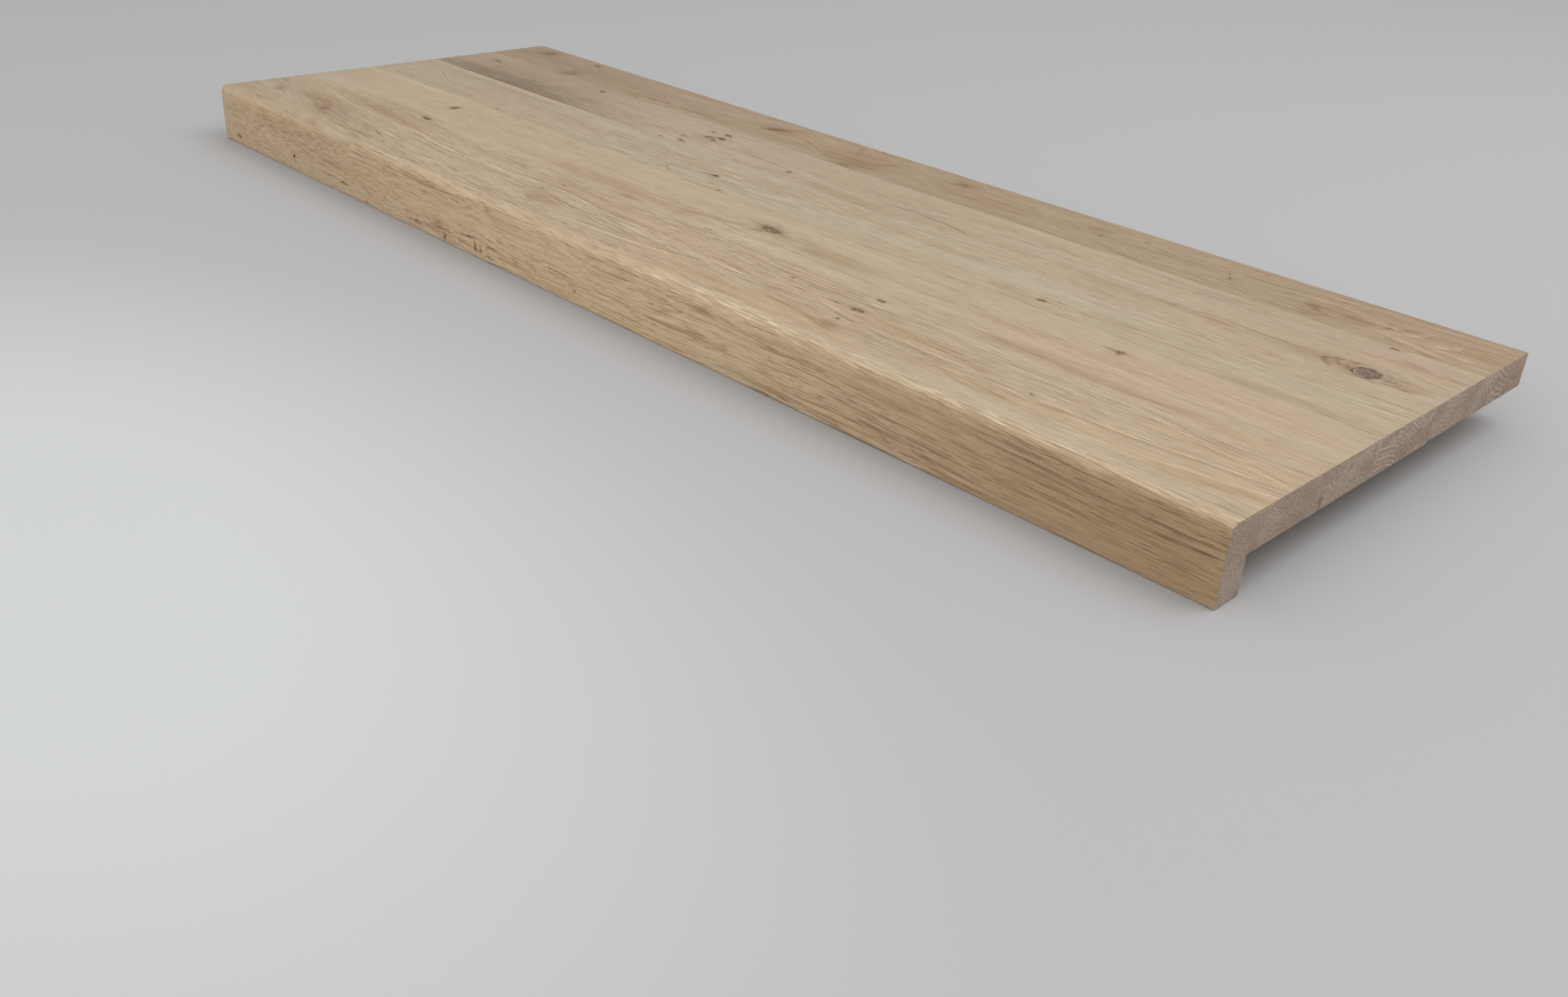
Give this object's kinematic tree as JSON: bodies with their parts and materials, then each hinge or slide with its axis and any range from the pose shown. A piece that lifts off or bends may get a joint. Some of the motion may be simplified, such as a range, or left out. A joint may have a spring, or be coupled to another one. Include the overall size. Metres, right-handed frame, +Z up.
{
  "type": "stair tread overlay",
  "caption": "Solid oak stair tread overlay: a flat panel of edge-glued staves with a square nose turned down along the front and a rounded top front edge.",
  "frame": {"origin": "centre of the bounding box at its bottom, level with the underside of the nose", "axes": "+X along the tread, -Y towards the front where the nose hangs, +Z up out of the walking surface"},
  "size_m": [0.87, 0.3, 0.04],
  "materials": {
    "front_stave_oak": "raw planed and sanded, unfinished",
    "middle_stave_1_oak": "raw planed and sanded, unfinished",
    "middle_stave_2_oak": "raw planed and sanded, unfinished",
    "middle_stave_3_oak": "raw planed and sanded, unfinished",
    "rear_stave_oak": "raw planed and sanded, unfinished"
  },
  "bodies": {
    "root": {"front_stave": "front_stave_oak", "middle_stave_1": "middle_stave_1_oak", "middle_stave_2": "middle_stave_2_oak", "middle_stave_3": "middle_stave_3_oak", "rear_stave": "rear_stave_oak"}
  },
  "joints": []
}
